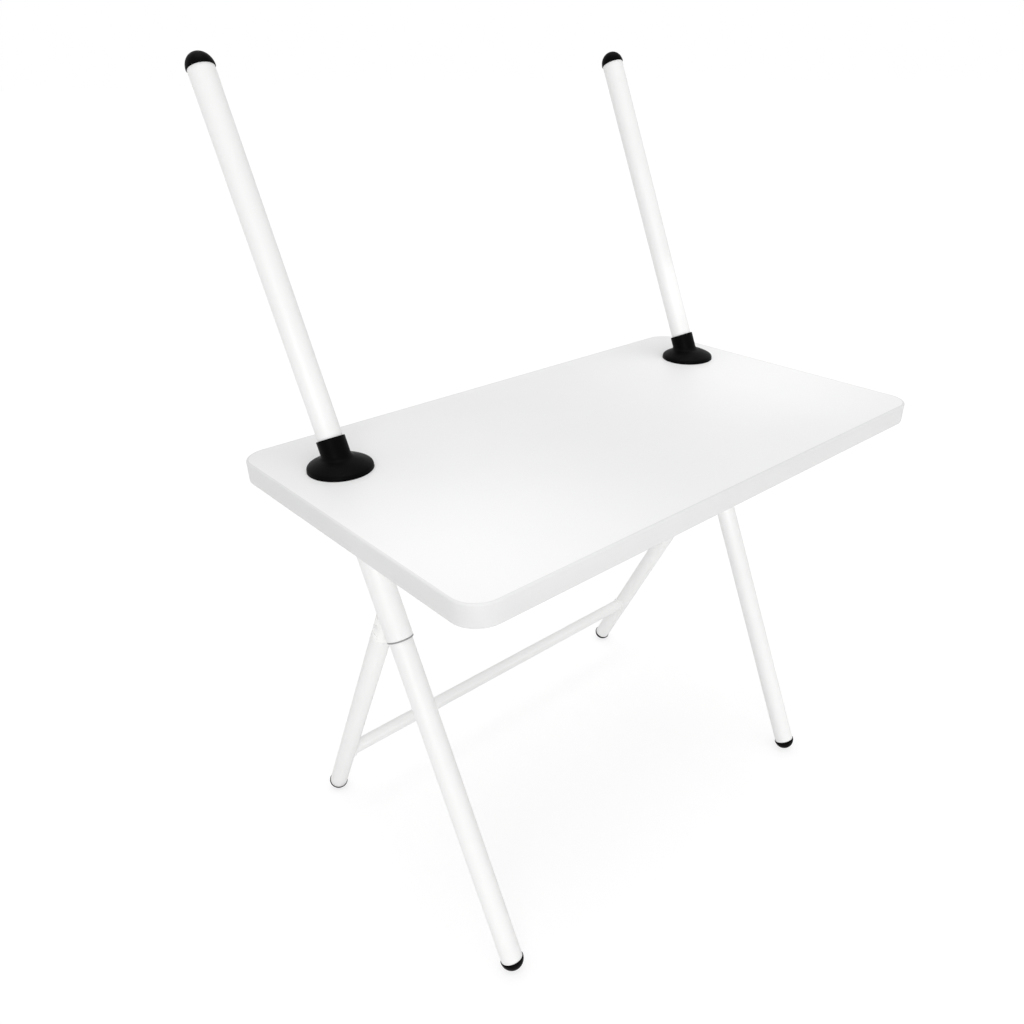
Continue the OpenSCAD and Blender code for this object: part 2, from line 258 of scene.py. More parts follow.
def closed_up(mesh):
    """Merge doubled points and turn the faces outwards."""
    bmesh.ops.remove_doubles(mesh, verts=mesh.verts[:], dist=MERGE_DISTANCE)
    bmesh.ops.recalc_face_normals(mesh, faces=mesh.faces[:])


def placed(mesh, place):
    """Move a whole mesh by a matrix."""
    bmesh.ops.transform(mesh, matrix=place, verts=mesh.verts[:])
    return mesh


def spun(profile, place, loop=False):
    """Turn a profile of (radius, height) points about Z; a loop also joins its last point to its first."""
    mesh = bmesh.new()
    points = [mesh.verts.new((radius, 0, height)) for radius, height in profile]
    ends = points[1:] + points[:1] if loop else points[1:]
    edges = [mesh.edges.new(pair) for pair in zip(points, ends)]
    bmesh.ops.spin(mesh, geom=points + edges, axis=(0, 0, 1), cent=(0, 0, 0),
                   angle=2 * pi, steps=sizes().round_steps, use_merge=True)
    closed_up(mesh)
    return placed(mesh, place)


def new_points(grown):
    """Points among what an operator has grown."""
    return [item for item in grown["geom"] if isinstance(item, bmesh.types.BMVert)]


def next_ring(mesh, ring, points):
    """Extrude a ring of edges and set the new ring on its points."""
    edges = [mesh.edges.get(pair) for pair in zip(ring, ring[1:] + ring[:1])]
    fresh = set(new_points(bmesh.ops.extrude_edge_only(mesh, edges=edges)))
    links = [[edge.other_vert(vert) for edge in vert.link_edges] for vert in ring]
    grown_ring = [next(vert for vert in near if vert in fresh) for near in links]
    for vert, point in zip(grown_ring, points):
        vert.co = point
    return grown_ring


def lofted(rings, place, loop=False):
    """Skin a row of like rings; a loop joins the last to the first, and other rows get end faces."""
    mesh = bmesh.new()
    first = bmesh.ops.create_circle(mesh, segments=len(rings[0]), radius=1)["verts"]
    for vert, point in zip(first, rings[0]):
        vert.co = point
    last = first
    for points in rings[1:] + (rings[:1] if loop else []):
        last = next_ring(mesh, last, points)
    if not loop:
        mesh.faces.new(first)
        mesh.faces.new(last)
    closed_up(mesh)
    return placed(mesh, place)


def angles(steps):
    """Even angles once round."""
    return [2 * pi * step / steps for step in range(steps)]


def flat_ring(outline, height, steps):
    """Level ring whose radius is a number or a function of the angle."""
    radius = outline if callable(outline) else lambda angle: outline
    return [Vector((radius(a) * cos(a), radius(a) * sin(a), height)) for a in angles(steps)]


def spoke(angle):
    """Unit step away from the leaning axis."""
    return Vector((cos(angle), sin(angle) * cos(LEAN), -sin(angle) * sin(LEAN)))


def across_ring(radius, along):
    """Ring square to the leaning axis, at a distance along it."""
    return [UP * along + spoke(angle) * radius for angle in angles(sizes().round_steps)]


def level_ring(radius, height):
    """Ring where a level plane cuts a cylinder on the leaning axis."""
    steps = [spoke(angle) * radius for angle in angles(sizes().round_steps)]
    return [step + UP * ((height - step.z) / UP.z) for step in steps]


def raise_faces(mesh, faces, step):
    """Extrude faces along a step, and keep the old ones where they are."""
    grown = bmesh.ops.extrude_face_region(mesh, geom=faces)
    bmesh.ops.translate(mesh, vec=step, verts=new_points(grown))


def thickened(mesh, step):
    """Extrude a flat outline along a step."""
    raise_faces(mesh, mesh.faces[:], step)
    closed_up(mesh)


def soften(mesh, radius, wanted=lambda edge: True):
    """Round the sharp edges that are wanted."""
    sharp = [edge for edge in mesh.edges if edge.calc_face_angle(0) > SHARP_ANGLE and wanted(edge)]
    bmesh.ops.bevel(mesh, geom=sharp, offset=radius, segments=EDGE_STEPS, profile=ROUND_PROFILE,
                    affect="EDGES", material=-1)


def round_corner(mesh, corner, radius):
    """Round one corner of a flat outline."""
    bmesh.ops.bevel(mesh, geom=[corner], offset=radius, segments=CORNER_STEPS, profile=ROUND_PROFILE,
                    affect="VERTICES", material=-1)


def rounded_sheet(width, depth, corner):
    """Flat level sheet with round corners."""
    mesh = bmesh.new()
    corners = bmesh.ops.create_grid(mesh, x_segments=1, y_segments=1, size=0.5)["verts"]
    bmesh.ops.scale(mesh, vec=(width, depth, 1), verts=corners)
    for vert in corners:
        round_corner(mesh, vert, corner)
    return mesh


def cut_profile(outline, thickness, soft_edge, place):
    """Plate across X from an outline of (y, z, corner radius) points."""
    mesh = bmesh.new()
    corners = [mesh.verts.new((-thickness / 2, y, z)) for y, z, radius in outline]
    mesh.faces.new(corners)
    for vert, (y, z, radius) in zip(corners, outline):
        if radius:
            round_corner(mesh, vert, radius)
    thickened(mesh, (thickness, 0, 0))
    soften(mesh, soft_edge)
    return placed(mesh, place)


def split(mesh, point, normal, clear=False):
    """Split a mesh along a plane, and clear away what lies beyond it if asked."""
    everything = mesh.verts[:] + mesh.edges[:] + mesh.faces[:]
    bmesh.ops.bisect_plane(mesh, geom=everything, plane_co=point, plane_no=normal, clear_outer=clear)


def sliced(mesh, point, normal):
    """Cut away what lies beyond a plane and close the cut."""
    split(mesh, point, normal, clear=True)
    bmesh.ops.holes_fill(mesh, edges=[edge for edge in mesh.edges if edge.is_boundary], sides=0)


def mesh_data(name, mesh):
    """Finished mesh data, which frees its source."""
    data = bpy.data.meshes.new(name)
    mesh.to_mesh(data)
    mesh.free()
    return data


def joined(meshes):
    """One mesh out of several."""
    whole = bmesh.new()
    for mesh in meshes:
        part = mesh_data("part", mesh)
        whole.from_mesh(part)
        bpy.data.meshes.remove(part)
    return whole


def in_scene(name, data):
    """New object in the scene."""
    thing = bpy.data.objects.new(name, data)
    bpy.context.scene.collection.objects.link(thing)
    return thing


def make_piece(name, mesh, finish, body, nodes=()):
    """Finished object from a mesh, with its finish, its body and the frame nodes that it stands for."""
    data = mesh_data(name, mesh)
    data.shade_smooth()
    data.set_sharp_from_angle(angle=SMOOTH_ANGLE)
    data.materials.append(finish())
    piece = in_scene(name, data)
    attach(piece, body)
    if nodes:
        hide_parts(*nodes)
    return piece


# Finishes

SMUDGE_SHARE = 0.6
LINE_STRETCH = (0.02, 0.02, 1)
LINE_SCALE = 1400
CHIP_SCALE = 260


def made_once(store):
    """Build a material or a group the first time, and find it by its function's name after that."""
    def wrap(build):
        @wraps(build)
        def find_or_build():
            return getattr(bpy.data, store).get(build.__name__) or build()
        return find_or_build
    return wrap


def effect_group(name, inputs, outputs):
    """Empty shader group with plain number sockets."""
    group = bpy.data.node_groups.new(name, "ShaderNodeTree")
    for label, value in inputs.items():
        socket = group.interface.new_socket(label, in_out="INPUT", socket_type="NodeSocketFloat")
        socket.default_value = value
    for label in outputs:
        group.interface.new_socket(label, in_out="OUTPUT", socket_type="NodeSocketFloat")
    return group, group.nodes.new("NodeGroupInput"), group.nodes.new("NodeGroupOutput")


def fill(tree, node, *in_order, **named):
    """Fill a node's inputs, in order or by name, with values or with other nodes' outputs."""
    pairs = list(zip(node.inputs, in_order))
    pairs += [(node.inputs[label.replace("_", " ")], value) for label, value in named.items()]
    for socket, value in pairs:
        if isinstance(value, bpy.types.NodeSocket):
            tree.links.new(value, socket)
        else:
            socket.default_value = value
    return node


def add_node(tree, kind, *in_order, **named):
    """New shader node with its inputs filled."""
    return fill(tree, tree.nodes.new(f"ShaderNode{kind}"), *in_order, **named)


def calculated(tree, operation, *values):
    """Result of a sum on values or other nodes' outputs."""
    node = tree.nodes.new("ShaderNodeMath")
    node.operation = operation
    return fill(tree, node, *values).outputs["Value"]


def stepped(tree, source, low, high):
    """Spread the part of a value between two limits over nought to one."""
    return add_node(tree, "MapRange", Value=source, From_Min=low, From_Max=high).outputs["Result"]


def noise(tree, place, scale, detail, roughness=0.5):
    """Noise on a place, with its scale a number or a socket."""
    texture = add_node(tree, "TexNoise", Vector=place, Scale=scale, Detail=detail, Roughness=roughness)
    return texture.outputs["Fac"]


def object_place(tree):
    """Object coordinates."""
    return tree.nodes.new("ShaderNodeTexCoord").outputs["Object"]


@made_once("node_groups")
def surface_grain():
    """Group: a fine grain height, and a broad mottle that shifts tone and gloss."""
    group, given, result = effect_group(
        "surface_grain", {"Grain Scale": 600, "Mottle Scale": 20}, ("Grain", "Mottle"))
    place = object_place(group)
    fine = noise(group, place, given.outputs["Grain Scale"], detail=2)
    broad = noise(group, place, given.outputs["Mottle Scale"], detail=3)
    fill(group, result, Grain=fine, Mottle=stepped(group, broad, low=0.3, high=0.7))
    return group


@made_once("node_groups")
def smudges():
    """Group: faint handling marks, mostly clear with a few soft patches."""
    group, given, result = effect_group("smudges", {"Patch Scale": 12}, ("Mask",))
    place = object_place(group)
    patches = noise(group, place, given.outputs["Patch Scale"], detail=4, roughness=0.6)
    fill(group, result, Mask=stepped(group, patches, low=0.56, high=0.72))
    return group


def place_group(tree, group, **values):
    """Put a group in a material with its own values."""
    node = tree.nodes.new("ShaderNodeGroup")
    node.node_tree = group
    return fill(tree, node, **values)


def tones(tree, mask, base, shade):
    """Colour that runs from a base to a darker shade of it by a mask."""
    mix = tree.nodes.new("ShaderNodeMix")
    mix.data_type = "RGBA"
    darker = [part * shade for part in base]
    return fill(tree, mix, Factor=mask, A=(*base, 1), B=(*darker, 1)).outputs["Result"]


def gloss(tree, mask, low, high):
    """Roughness that runs between two values by a mask."""
    return add_node(tree, "MapRange", Value=mask, To_Min=low, To_Max=high).outputs["Result"]


def bumped(tree, height, strength, depth):
    """Bump of a given depth, in metres."""
    return add_node(tree, "Bump", Height=height, Strength=strength, Distance=depth).outputs["Normal"]


def summed(tree, first, second, share):
    """First value plus a share of a second."""
    return calculated(tree, "MULTIPLY_ADD", second, share, first)


def mottle_of(tree, surface):
    """Broad mottle of a surface."""
    return surface.outputs["Mottle"]


def grain_of(tree, surface):
    """Fine grain of a surface."""
    return surface.outputs["Grain"]


def grained_finish(name, base, grain, mottle, shade, roughness, bump,
                   tone=mottle_of, height=grain_of, **looks):
    """Material with a bumped grain, a mottled tone, an uneven gloss and other looks of its shader."""
    material = bpy.data.materials.new(name)
    material.use_nodes = True
    tree = material.node_tree
    surface = place_group(tree, surface_grain(), Grain_Scale=grain, Mottle_Scale=mottle)
    marks = place_group(tree, smudges(), Patch_Scale=mottle / 2)
    uneven = summed(tree, surface.outputs["Mottle"], marks.outputs["Mask"], SMUDGE_SHARE)
    fill(tree, tree.nodes["Principled BSDF"],
         Base_Color=tones(tree, tone(tree, surface), base, shade),
         Roughness=gloss(tree, uneven, *roughness),
         Normal=bumped(tree, height(tree, surface), *bump),
         **looks)
    return material


@made_once("materials")
def powder_coat():
    """White powder coat with a fine orange peel."""
    return grained_finish("powder_coat", colours().frame_white, grain=420, mottle=16, shade=0.985,
                          roughness=(0.34, 0.44), bump=(0.12, 0.0002))


@made_once("materials")
def facing_sheet():
    """White pressed facing sheet with a fine pearl texture."""
    return grained_finish("facing_sheet", colours().board_white, grain=1100, mottle=9, shade=0.985,
                          roughness=(0.4, 0.5), bump=(0.1, 0.00015))


def with_lines(tree, surface):
    """Fine grain with faint lines that run level."""
    stretch = add_node(tree, "Mapping", Vector=object_place(tree), Scale=LINE_STRETCH)
    lines = noise(tree, stretch.outputs["Vector"], LINE_SCALE, detail=2)
    return summed(tree, surface.outputs["Grain"], lines, share=1)


@made_once("materials")
def edge_strip_painted_shade():
    """White plastic edge band with faint lines along its length, darkened to grey as painted shade of the
    board's side faces.
    """
    return grained_finish("edge_strip_painted_shade", colours().band_white, grain=900, mottle=14, shade=0.98,
                          roughness=(0.42, 0.52), bump=(0.1, 0.00015), height=with_lines)


@made_once("materials")
def black_moulding():
    """Black moulded plastic with a fine spark-eroded grain."""
    return grained_finish("black_moulding", colours().black, grain=1500, mottle=60, shade=0.7,
                          roughness=(0.36, 0.48), bump=(0.15, 0.0002), Specular_IOR_Level=0.03)


@made_once("materials")
def grey_rubber():
    """Soft grey rubber, whose grey is painted shade: it stands in for the shadow line under the sleeves'
    ends.
    """
    return grained_finish("grey_rubber", colours().rubber, grain=1800, mottle=90, shade=0.8,
                          roughness=(0.7, 0.85), bump=(0.2, 0.0002), Specular_IOR_Level=0.15)


@made_once("materials")
def white_nylon():
    """White moulded nylon, slightly translucent."""
    return grained_finish("white_nylon", colours().nylon, grain=800, mottle=70, shade=0.97,
                          roughness=(0.28, 0.4), bump=(0.06, 0.00015),
                          Subsurface_Weight=0.1, Subsurface_Radius=(0.002, 0.002, 0.0016))


@made_once("materials")
def zinc_plate():
    """Zinc-plated steel with a faint crystal tone."""
    return grained_finish("zinc_plate", colours().steel, grain=2500, mottle=400, shade=0.85,
                          roughness=(0.26, 0.42), bump=(0.1, 0.0001), Metallic=1)


def chips_of(tree, surface):
    """Mask of pressed chips."""
    chips = add_node(tree, "TexVoronoi", Vector=object_place(tree), Scale=CHIP_SCALE)
    return stepped(tree, chips.outputs["Distance"], low=0.1, high=0.8)


@made_once("materials")
def chip_core():
    """Raw particle board: pressed chips of mixed tone."""
    return grained_finish("chip_core", colours().chips, grain=900, mottle=220, shade=0.6,
                          roughness=(0.75, 0.9), bump=(0.4, 0.0004), tone=chips_of)


def dress_node(node, finish):
    """Give a frame node that keeps its shape its finish."""
    for slot in frame["nodes"][node].material_slots:
        slot.material = finish()


# Pieces

ACROSS = Vector((1, 0, 0))
UPRIGHT = Vector((0, 0, 1))
HALF_TURN = Matrix.Rotation(pi, 4, "X")
BEAD_STEPS = 12
BEAD_TIP = 0.3
BEAD_TAPER_POINTS = 3
BEAD_RIPPLE_POINTS = 3
TONGUE_WELD_STEPS = 12
STOP_CUTS = 5
SCREW_STEPS = 48
SCREW_CROWN = 0.45
SCREW_HEAD_RINGS = (0.6, 0.75, 0.88, 0.96, 1)
SCREW_HEAD_RIM = 0.12
SCREW_HEAD_SEAT = 0.96
SCREW_RECESS_TAPER = 0.85
SCREW_POINT = 0.75


def flange_place(side):
    """Point where a tube's axis meets the board's top face."""
    return Vector((SIDES[side] * TUBE_X, FLANGE_Y, BOARD_TOP))


def pivot_place(side):
    """Point of a hinge's axis in the plane of its tube."""
    return Vector((SIDES[side] * TUBE_X, PIVOT.y, PIVOT.z))


def tube_mesh(node, lean):
    """Tube with softened ends, in its node's place."""
    foot, height, radius = tube_of(node, lean)
    bore = radius - sizes().tube_wall
    edge = sizes().tube_edge
    outside = arc((radius - edge, edge), edge, -90, 0, EDGE_STEPS)
    outside += arc((radius - edge, height - edge), edge, 0, 90, EDGE_STEPS)
    return spun([(bore, 0), *outside, (bore, height)], leaning(foot, lean), loop=True)


def cap_mesh(radius, dome, place):
    """Domed cap for a tube of a given radius, with a lip past the tube and a hollow stem below."""
    size = sizes()
    head = radius + size.cap_lip
    stem = radius - size.tube_wall - size.slide_gap
    bore = stem - size.stem_wall
    edge = size.cap_edge
    profile = dome_arc(head, dome, size.cap_rim, DOME_STEPS)
    profile += arc((head - edge, edge), edge, 0, -90, EDGE_STEPS)
    profile += [(stem, 0), (stem, -size.stem), (bore, -size.stem), (bore, 0), (0, 0)]
    return spun(profile, place)


def foot_mesh(node, lean, dome):
    """Domed foot under the lower end of a leg's tube."""
    end, height, radius = tube_of(node, lean)
    return cap_mesh(radius, dome, leaning(end, lean) @ HALF_TURN)


def saddle(y, radius):
    """Distance from a tube's axis plane to its surface at an offset."""
    return sqrt(radius * radius - y * y)


def bead_radius(index, count, loop):
    """Radius of a bead at one of its points, with a fine ripple."""
    size = sizes()
    from_end = min(index, count - 1 - index)
    taper = 1 if loop else min(1, BEAD_TIP + from_end / BEAD_TAPER_POINTS)
    return size.weld * taper * (1 + size.ripple * cos(2 * pi * index / BEAD_RIPPLE_POINTS))


def bead_mesh(path, axis, loop):
    """Weld bead along a path that turns about an axis; an open bead tapers at its ends."""
    count = len(path)
    rings = []
    for index, point in enumerate(path):
        before = path[index - 1] if loop or index else point
        after = path[(index + 1) % count] if loop or index < count - 1 else point
        along = (after - before).normalized()
        out = along.cross(axis).normalized()
        across = along.cross(out)
        radius = bead_radius(index, count, loop)
        rings.append([point + (out * cos(a) + across * sin(a)) * radius for a in angles(BEAD_STEPS)])
    return lofted(rings, Matrix.Identity(4), loop)


def band_mesh():
    """Ring round the board with softened outer edges."""
    size = sizes()
    middle = (BAND_LOW + BAND_HIGH) / 2
    mesh = rounded_sheet(BAND_HIGH.x - BAND_LOW.x, BAND_HIGH.y - BAND_LOW.y, size.corner)
    inside = mesh.faces[:]
    bmesh.ops.inset_region(mesh, faces=inside, thickness=BAND_T, use_boundary=True, use_even_offset=True)
    bmesh.ops.delete(mesh, geom=inside, context="FACES")
    thickened(mesh, (0, 0, BOARD_T))

    def on_outer_rim(edge):
        walls = [face for face in edge.link_faces if abs(face.normal.z) < LEVEL_LIMIT]
        return len(walls) == 1 and walls[0].normal.dot(walls[0].calc_center_median()) > 0

    soften(mesh, size.edge_round, on_outer_rim)
    return placed(mesh, Matrix.Translation((middle.x, middle.y, BAND_LOW.z)))


def bent(start, corner, end, steps):
    """Rings of points on curves that leave start for corner and turn to end."""
    rings = []
    for step in range(1, steps):
        part = step / steps
        rings.append([a.lerp(b, part).lerp(b.lerp(c, part), part) for a, b, c in zip(start, corner, end)])
    return rings


def flange_ball():
    """Radius of the ball that the flange's dome is part of, and its middle, seen from the flange's place."""
    size = sizes()
    radius = ball_radius(FLANGE_R, size.flange_dome)
    return radius, Vector((0, 0, size.rim + size.flange_dome - radius))


def on_dome(point):
    """Point lifted straight up onto the flange's dome."""
    radius, middle = flange_ball()
    height = sqrt(radius * radius - point.x * point.x - point.y * point.y)
    return Vector((point.x, point.y, middle.z + height))


def neck_ring(neck, rise):
    """Ring on the neck's outside, at a rise along it above the dome."""
    radius, middle = flange_ball()
    points = []
    for angle in angles(sizes().round_steps):
        out = spoke(angle) * neck
        start = out - middle
        slope = start.dot(UP)
        meet = sqrt(slope * slope - start.length_squared + radius * radius) - slope
        points.append(out + UP * (meet + rise))
    return points


def flange_rings(neck):
    """Rings from the neck down the fillet, the dome and the rounded rim to the flange's underside."""
    size = sizes()
    steps = size.round_steps
    rim_inner = [on_dome(point) for point in flat_ring(FLANGE_R - size.rim_round, 0, steps)]
    rim_top = flat_ring(FLANGE_R, size.rim, steps)
    rim_side = flat_ring(FLANGE_R, size.rim - size.rim_round, steps)
    meeting = neck_ring(neck, 0)
    neck_start = neck_ring(neck, size.neck_fillet)
    dome_start = []
    for inner, outer in zip(meeting, rim_inner):
        step = Vector((outer.x - inner.x, outer.y - inner.y, 0)).normalized() * size.neck_fillet
        dome_start.append(on_dome(inner + step))
    rings = [neck_start, *bent(neck_start, meeting, dome_start, FILLET_STEPS), dome_start]
    for step in range(1, LOW_DOME_STEPS):
        pairs = zip(dome_start, rim_inner)
        rings.append([on_dome(inner.lerp(outer, step / LOW_DOME_STEPS)) for inner, outer in pairs])
    rings += [rim_inner, *bent(rim_inner, rim_top, rim_side, EDGE_STEPS), rim_side]
    return rings + [flat_ring(FLANGE_R, -FACING_T, steps)]


def socket_mesh(side):
    """Flanged socket: domed flange, hollow fillet, leaning neck with a rounded mouth, bore and shank."""
    size = sizes()
    bore = TUBE_R + size.slide_gap
    neck = bore + size.neck_wall
    lip = size.neck_lip
    mouth = (FLANGE_HIGH.z - BOARD_TOP - neck * sin(LEAN)) / cos(LEAN)
    seat = (tube_of(f"upright_{side}", LEAN)[0] - flange_place(side)).dot(UP) - size.slide_gap
    edge = arc((bore + lip, mouth - lip), lip, 180, 90, EDGE_STEPS)
    edge += arc((neck - lip, mouth - lip), lip, 90, 0, EDGE_STEPS)
    rings = [across_ring(radius, along) for radius, along in edge] + flange_rings(neck)
    rings += [level_ring(neck, -FACING_T), level_ring(neck, -BOARD_T), level_ring(size.drain, -BOARD_T)]
    rings += [across_ring(size.drain, seat), across_ring(bore, seat)]
    return lofted(rings, Matrix.Translation(flange_place(side)), loop=True)


def sleeve_mesh(side):
    """Sleeve under the board, with a softened lower end and its top cut level under the plate."""
    size = sizes()
    bore = TUBE_R + size.slide_gap
    edge = size.sleeve_edge
    below = (SLEEVE_LOW.z + SLEEVE_R * sin(LEAN) - BOARD_TOP) / cos(LEAN)
    top = SLEEVE_HIGH.z - BOARD_TOP
    lower = arc((SLEEVE_R - edge, below + edge), edge, -90, 0, EDGE_STEPS)
    rings = [across_ring(bore, below)] + [across_ring(r, t) for r, t in lower]
    rings += [level_ring(SLEEVE_R, top), level_ring(bore, top)]
    return lofted(rings, Matrix.Translation(flange_place(side)), loop=True)


def plate_mesh(side):
    """Plate under the board with round corners and softened edges."""
    size = sizes()
    low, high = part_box(f"leg_plate_{side}")
    mesh = rounded_sheet(high.x - low.x, high.y - low.y, size.plate_corner)
    thickened(mesh, (0, 0, high.z - low.z))
    soften(mesh, size.plate_round)
    middle = (low + high) / 2
    return placed(mesh, Matrix.Translation((middle.x, middle.y, low.z)))


def cross(arm, half_width):
    """Radius of a cross-shaped recess by angle."""
    def radius(angle):
        run = max(abs(cos(angle)), NEAR_ZERO)
        rise = max(abs(sin(angle)), NEAR_ZERO)
        return max(min(arm / run, half_width / rise), min(half_width / run, arm / rise))
    return radius


def screw_mesh(place):
    """Screw with a domed head, a cross recess and a shank that points down from the head's seat."""
    hinge = hinge_sizes()
    head = hinge.screw_head_r
    height = hinge.screw_head
    pin = hinge.screw_r
    reach = PLATE_HIGH.z - PLATE_LOW.z + BOARD_T
    recess = cross(hinge.recess, hinge.recess_half)

    def ring(outline, level):
        return flat_ring(outline, level, SCREW_STEPS)

    def dome(radius):
        return height - SCREW_CROWN * height * (radius / head) ** 2

    rings = [ring(lambda angle: recess(angle) * SCREW_RECESS_TAPER, height - hinge.recess_depth)]
    rings.append([Vector((point.x, point.y, dome(point.xy.length))) for point in ring(recess, 0)])
    rings += [ring(head * part, dome(head * part)) for part in SCREW_HEAD_RINGS]
    rings += [ring(head, SCREW_HEAD_RIM * height), ring(SCREW_HEAD_SEAT * head, 0), ring(pin, 0)]
    rings += [ring(pin, (1 - SCREW_POINT) * pin - reach), ring(SCREW_POINT * pin, -reach)]
    return lofted(rings, place)


def screw_places(side):
    """Seats of the screw heads under one plate, with Z pointing down."""
    hinge = hinge_sizes()
    middle = flange_place(side)
    places = []
    for left in SIDES.values():
        for front in SIDES.values():
            seat = Vector((middle.x + left * hinge.screw_x, middle.y + front * hinge.screw_y, PLATE_LOW.z))
            places.append(Matrix.Translation(seat) @ HALF_TURN)
    return places


def screws_mesh():
    """All the screws under both plates."""
    return joined([screw_mesh(place) for side in SIDES for place in screw_places(side)])


def across_place(side, offset):
    """Place on a hinge's axis, with Z pointing outwards from the stand."""
    shift = Vector((SIDES[side] * offset, 0, 0))
    return Matrix.Translation(pivot_place(side) + shift) @ Matrix.Rotation(SIDES[side] * pi / 2, 4, "Y")


def rivet_mesh(side):
    """Hinge rivet with a low dome at each end."""
    hinge = hinge_sizes()
    seat = REAR_R - hinge.rivet_head
    rim = seat + hinge.rivet_rim * hinge.rivet_head
    half = dome_arc(hinge.rivet_head_r, REAR_R - rim, rim, LOW_DOME_STEPS)
    half += [(hinge.rivet_head_r, seat), (hinge.rivet_r, seat)]
    mirrored = [(radius, -height) for radius, height in reversed(half)]
    return spun(half + mirrored, across_place(side, 0))


def washer_mesh(side, offset):
    """Washer with rounded edges, centred at an offset along the hinge's axis."""
    hinge = hinge_sizes()
    half = hinge.washer / 2
    bore = hinge.rivet_r + hinge.rivet_gap
    profile = [(bore, -half), *arc((hinge.washer_r - half, 0), half, -90, 90, FILLET_STEPS), (bore, half)]
    return spun(profile, across_place(side, offset), loop=True)


def washer_offsets():
    """Middles of the two washers on one hinge's axis."""
    middle = TONGUE_HALF + hinge_sizes().washer / 2
    return [-middle, middle]


def pivot_depth():
    """Distance of the hinge's axis behind the main tube's axis."""
    return (pivot_place("left") - flange_place("left")).dot(spoke(pi / 2))


def tongue_mesh(side):
    """Tongue with a round end, reaching back from the sleeve to the pivot."""
    hinge = hinge_sizes()
    near = saddle(TONGUE_HALF, SLEEVE_R) - pivot_depth() - hinge.bite
    half = hinge.tongue
    outline = [(near, -half, 0), (half, -half, half), (half, half, half), (near, half, 0)]
    return cut_profile(outline, 2 * TONGUE_HALF, hinge.tongue_edge, leaning(pivot_place(side), LEAN))


def fork_body(slot, flat):
    """Round root with two upright cheeks, between a slot's half width and the flats on the sides."""
    hinge = hinge_sizes()
    mesh = bmesh.new()
    bmesh.ops.create_circle(mesh, cap_ends=True, segments=sizes().round_steps, radius=REAR_R)
    for x in (-flat, -slot, slot, flat):
        split(mesh, ACROSS * x, ACROSS)
    thickened(mesh, (0, 0, hinge.slot_floor - hinge.drop))
    tops = [face for face in mesh.faces if face.normal.z > LEVEL_LIMIT]
    cheeks = [face for face in tops if slot < abs(face.calc_center_median().x) < flat]
    raise_faces(mesh, cheeks, (0, 0, hinge.slot_floor + hinge.reach))
    bmesh.ops.delete(mesh, geom=cheeks, context="FACES")
    return placed(mesh, Matrix.Translation((0, 0, -hinge.slot_floor)))


def fork_mesh(side):
    """Hinge fork: cheeks with a rounded front and a stop, on a round root with a stem in the leg's tube."""
    size = sizes()
    hinge = hinge_sizes()
    slot = TONGUE_HALF + hinge.washer + hinge.play
    stop = pivot_depth() - saddle(slot, SLEEVE_R) - hinge.play
    mesh = fork_body(slot, REAR_R - hinge.rivet_head)
    for step in range(1, STOP_CUTS + 1):
        angle = OPEN_ANGLE * step / STOP_CUTS
        outwards = Vector((0, -cos(angle), sin(angle)))
        sliced(mesh, outwards * (stop if step == STOP_CUTS else stop - hinge.play), outwards)
    closed_up(mesh)
    soften(mesh, hinge.fork_edge, lambda edge: edge.is_convex)
    closed_up(mesh)
    place = leaning(pivot_place(side), REAR_LEAN)
    stem = REAR_R - size.tube_wall - size.slide_gap
    end = -hinge.drop - size.stem
    profile = [(0, -hinge.drop), (stem, -hinge.drop), (stem, end), (0, end)]
    return joined([placed(mesh, place), spun(profile, place)])


def ring_mesh(side):
    """Grey ring round a front leg, close under its sleeve: painted shade that stands in for the shadow line
    at the sleeve's end.
    """
    low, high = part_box(f"leg_ring_{side}")
    half = hinge_sizes().ring / 2
    profile = arc((RING_R - half, 0), half, 0, 360, DOME_STEPS)[:-1]
    return spun(profile, leaning((low + high) / 2, LEAN), loop=True)


def bar_place():
    """Middle of the cross bar, with Z along the rear legs."""
    return leaning((BAR_LOW + BAR_HIGH) / 2, REAR_LEAN)


def bar_ring(side, radius, clear):
    """End ring of the cross bar, hollowed to sit against a rear leg."""
    points = []
    for angle in angles(sizes().round_steps):
        y = radius * cos(angle)
        x = SIDES[side] * (TUBE_X - saddle(y, REAR_R + clear))
        points.append(Vector((x, y, radius * sin(angle))))
    return points


def bar_mesh():
    """Cross bar with saddle-cut ends."""
    bore = BAR_R - sizes().bar_wall
    ends = (("left", BAR_R), ("right", BAR_R), ("right", bore), ("left", bore))
    rings = [bar_ring(side, radius, sizes().slide_gap) for side, radius in ends]
    return lofted(rings, bar_place(), loop=True)


def bar_welds_mesh():
    """Beads round both ends of the cross bar."""
    place = bar_place()
    paths = [[place @ point for point in bar_ring(side, BAR_R, 0)] for side in SIDES]
    return joined([bead_mesh(path, ACROSS, loop=True) for path in paths])


def sleeve_welds_mesh(side):
    """Bead round the top of a sleeve, and beads along both sides of its tongue."""
    start = flange_place(side)
    top = level_ring(SLEEVE_R, PLATE_LOW.z - BOARD_TOP)
    beads = [bead_mesh([start + point for point in top], UPRIGHT, loop=True)]
    run = hinge_sizes().weld_run * hinge_sizes().tongue
    steps = TONGUE_WELD_STEPS
    for left in SIDES.values():
        root = pivot_place(side) + Vector((left * TONGUE_HALF, 0, 0))
        root += spoke(pi / 2) * (saddle(TONGUE_HALF, SLEEVE_R) - pivot_depth())
        path = [root + UP * (run * (step / steps - 1)) for step in range(2 * steps + 1)]
        beads.append(bead_mesh(path, ACROSS, loop=False))
    return joined(beads)


# Operators

